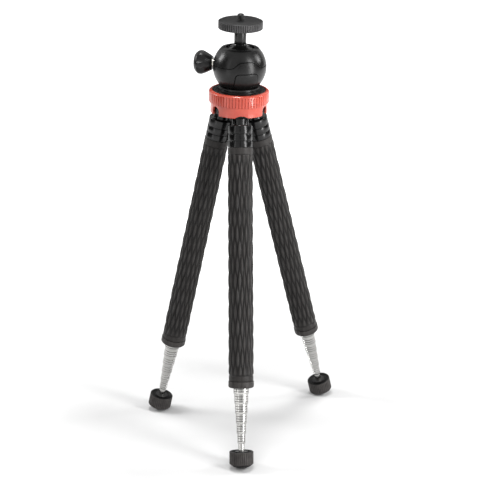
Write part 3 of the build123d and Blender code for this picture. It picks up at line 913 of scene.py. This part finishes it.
# %% Tubes
TUBE_COUNT = 7
TUBE_RADIUS = 7.25
TUBE_STEP = 0.7
TOP = 24.0
TOP_STEP = 3
FIRST_END = 266.5
END_STEP = 9.4
LAST_END = 329.3
for number in range(TUBE_COUNT):
    radius = TUBE_RADIUS - TUBE_STEP * number
    end = FIRST_END + END_STEP * number if number < TUBE_COUNT - 1 else LAST_END
    outline = rolled_outline(radius, TOP + TOP_STEP * number, end, rolls=2 if number == 0 else 3)
    tube = lathe(f"steel_tube_{number}", outline, segments=64, hollow=True)
    tube.data.materials.append(steel)
    tube.data.materials.append(dark_steel_and_groove_shade)
    # Painted shade: the faces at the bottom of the rolled rings take the darker finish.
    pick_faces(
        tube,
        lambda f: abs(f.normal.z) < 0.2
        and abs(f.center.xy.length - (radius - ROLL_DEPTH) / 1000) < 0.00003
        and f.center.z > (end - 9) / 1000,
    )
    tube.active_material_index = 1
    bpy.ops.object.material_slot_assign()
    bpy.ops.object.mode_set(mode="OBJECT")
    bpy.ops.object.shade_smooth_by_angle(angle=radians(25))
    copies(
        tube,
        lambda leg: f"leg_{leg}" if number == 0 else f"tube_{number}_{leg}",
        lambda leg: [f"tube_{number}_{leg}"],
    )

# %% [markdown]
# ## The feet
#
# A foot is a rubber cap with fine upright ribs and a domed sole. Its top is sunk, and the last tube goes
# into a darker core there.

# %% Feet
FOOT_RIBS = 36
FOOT_RADIUS = 11.32
SOLE_RADIUS = 16.49
SOLE_MIDDLE = 320.51
sole = [
    (SOLE_RADIUS * sin(radians(t)), SOLE_MIDDLE + SOLE_RADIUS * cos(radians(t)))
    for t in (41.5, 38, 34, 30, 25, 20, 15, 10, 5, 1)
]
foot = lathe(
    "rubber_foot",
    [(6.02, 330.5), (6.02, 322.5), (9.2, 322.5), (9.8, 321.3), (10.3, 320.9), (10.9, 320.9)]
    + [(FOOT_RADIUS, 321.4), (FOOT_RADIUS, 332.5)]
    + sole,
    segments=STRIPS * FOOT_RIBS,
)
pick_faces(
    foot,
    lambda f: f.center.xy.length > 0.0112
    and 0.3215 < f.center.z < 0.3324
    and side_strip(f, FOOT_RIBS, (0,)),
)
bpy.ops.mesh.inset(thickness=0.0001, depth=-0.0006, use_individual=True)
bpy.ops.object.mode_set(mode="OBJECT")
rounded(foot, 0.12, segments=1, angle=50)
foot.data.materials.append(foot_rubber)
copies(foot, lambda leg: f"tube_6_{leg}", lambda leg: [f"foot_{leg}"])

# %% [markdown]
# ## The studio
#
# The highlights in the photograph tell where its lamps stood. Two spots high on the round housing come
# from large softboxes at the sides, and the upright streaks on the neck and the collars come from narrow
# ones in front, which reach down to the floor. A small lamp right above draws the shadow of each leg from
# its foot to the middle. Between the lamps the black pieces mirror something dark, so dark cards stand at
# the sides, one behind the camera, which also draws the dark line down each bright tube, and one behind
# the tripod, which the level top of the plate mirrors. The camera doesn't see the cards.
#
# The floor is plain and diffuse. Only for rays that come from the camera, a mirror or glass does it shine
# as well, more and more away from the tripod, which makes it white there and keeps the soft shadows near
# the feet. The world is white to the same rays and half as bright for the light it gives.

# %% Floor
bpy.ops.object.select_all(action="DESELECT")
bpy.ops.mesh.primitive_plane_add(size=8)
floor = bpy.context.object
floor.name = "floor"


def seen_directly(nodes, links):
    """One for rays from the camera, a mirror or glass, and zero for light that bounces."""
    path = nodes.new("ShaderNodeLightPath")
    total = path.outputs["Is Camera Ray"]
    for ray in ("Is Glossy Ray", "Is Transmission Ray"):
        add = nodes.new("ShaderNodeMath")
        add.operation = "ADD"
        add.use_clamp = True
        links.new(total, add.inputs[0])
        links.new(path.outputs[ray], add.inputs[1])
        total = add.outputs[0]
    return total


floor_paint = bpy.data.materials.new("floor_paint")
floor_paint.use_nodes = True
nodes, links = floor_paint.node_tree.nodes, floor_paint.node_tree.links
nodes["Principled BSDF"].inputs["Roughness"].default_value = 0.9
nodes["Principled BSDF"].inputs["Specular IOR Level"].default_value = 0.1
vary_color(floor_paint, grain(floor_paint, 60), (0.65, 0.65, 0.65), (0.67, 0.67, 0.67))
place = nodes.new("ShaderNodeTexCoord")
distance = nodes.new("ShaderNodeVectorMath")
distance.operation = "LENGTH"
links.new(place.outputs["Object"], distance.inputs[0])
fade = nodes.new("ShaderNodeMapRange")
fade.inputs["From Min"].default_value = 0.15
fade.inputs["From Max"].default_value = 0.7
fade.inputs["To Min"].default_value = 0.0
fade.inputs["To Max"].default_value = 1.0
links.new(distance.outputs["Value"], fade.inputs["Value"])
shine = nodes.new("ShaderNodeMath")
shine.operation = "MULTIPLY"
links.new(fade.outputs["Result"], shine.inputs[0])
links.new(seen_directly(nodes, links), shine.inputs[1])
nodes["Principled BSDF"].inputs["Emission Color"].default_value = (1, 1, 1, 1)
links.new(shine.outputs[0], nodes["Principled BSDF"].inputs["Emission Strength"])
floor.data.materials.append(floor_paint)

# %% World
world = bpy.data.worlds.new("studio")
bpy.context.scene.world = world
world.use_nodes = True
nodes, links = world.node_tree.nodes, world.node_tree.links
background = nodes["Background"]
background.inputs["Color"].default_value = (1, 1, 1, 1)
room = nodes.new("ShaderNodeMapRange")
room.inputs["To Min"].default_value = 0.5
room.inputs["To Max"].default_value = 1.0
links.new(seen_directly(nodes, links), room.inputs["Value"])
links.new(room.outputs["Result"], background.inputs["Strength"])


# %% Lamps
def softbox(name, location, size, power, target=(0, 0, 0.3)):
    """A rectangular lamp that faces the tripod."""
    bpy.ops.object.light_add(type="AREA", location=location)
    lamp = bpy.context.object
    lamp.name = name
    lamp.data.shape = "RECTANGLE"
    lamp.data.size, lamp.data.size_y = size
    lamp.data.energy = power
    aim = Vector(target) - Vector(location)
    lamp.rotation_euler = aim.to_track_quat("-Z", "Y").to_euler()


softbox("softbox_left", (-1.25, 0.42, 1.0), (0.4, 0.52), 11)
softbox("softbox_right", (1.4, 0.1, 0.86), (0.38, 0.52), 10)
softbox("softbox_top", (0.0, 0.05, 1.9), (0.3, 0.3), 16, target=(0, 0, 0))
softbox("strip_left", (-0.78, -0.54, 0.56), (0.14, 1.1), 1.2, target=(0, 0, 0.56))
softbox("strip_right", (0.69, -0.65, 0.56), (0.24, 1.1), 12, target=(0, 0, 0.56))


# %% Dark cards
def dark_card(name, location, width, height):
    """A card that faces the tripod, dark to the lamps and mirrors and unseen by the camera."""
    bpy.ops.object.select_all(action="DESELECT")
    bpy.ops.mesh.primitive_plane_add(size=1, location=location)
    card = bpy.context.object
    card.name = name
    card.scale = (width, height, 1)
    level = Vector((-location[0], -location[1], 0))
    card.rotation_euler = level.to_track_quat("Z", "Y").to_euler()
    card.visible_camera = False
    card.data.materials.append(card_cloth)


card_cloth = new_finish("card_cloth", (0.012, 0.012, 0.012), 0.95, specular=0.0)
vary_color(card_cloth, grain(card_cloth, 3), (0.01, 0.01, 0.01), (0.014, 0.014, 0.014))
dark_card("card_left", (-1.75, 0.0, 1.0), 2.2, 2.2)
dark_card("card_right", (1.75, 0.0, 1.0), 2.2, 2.2)
dark_card("card_front", (-0.17, -2.1, 1.1), 0.3, 1.6)
dark_card("card_back", (0.0, 1.5, 0.78), 1.5, 0.62)
print("studio: 5 lamps, 4 dark cards, a floor and a white world")

# %% Finish
bpy.context.scene.view_settings.view_transform = "Standard"
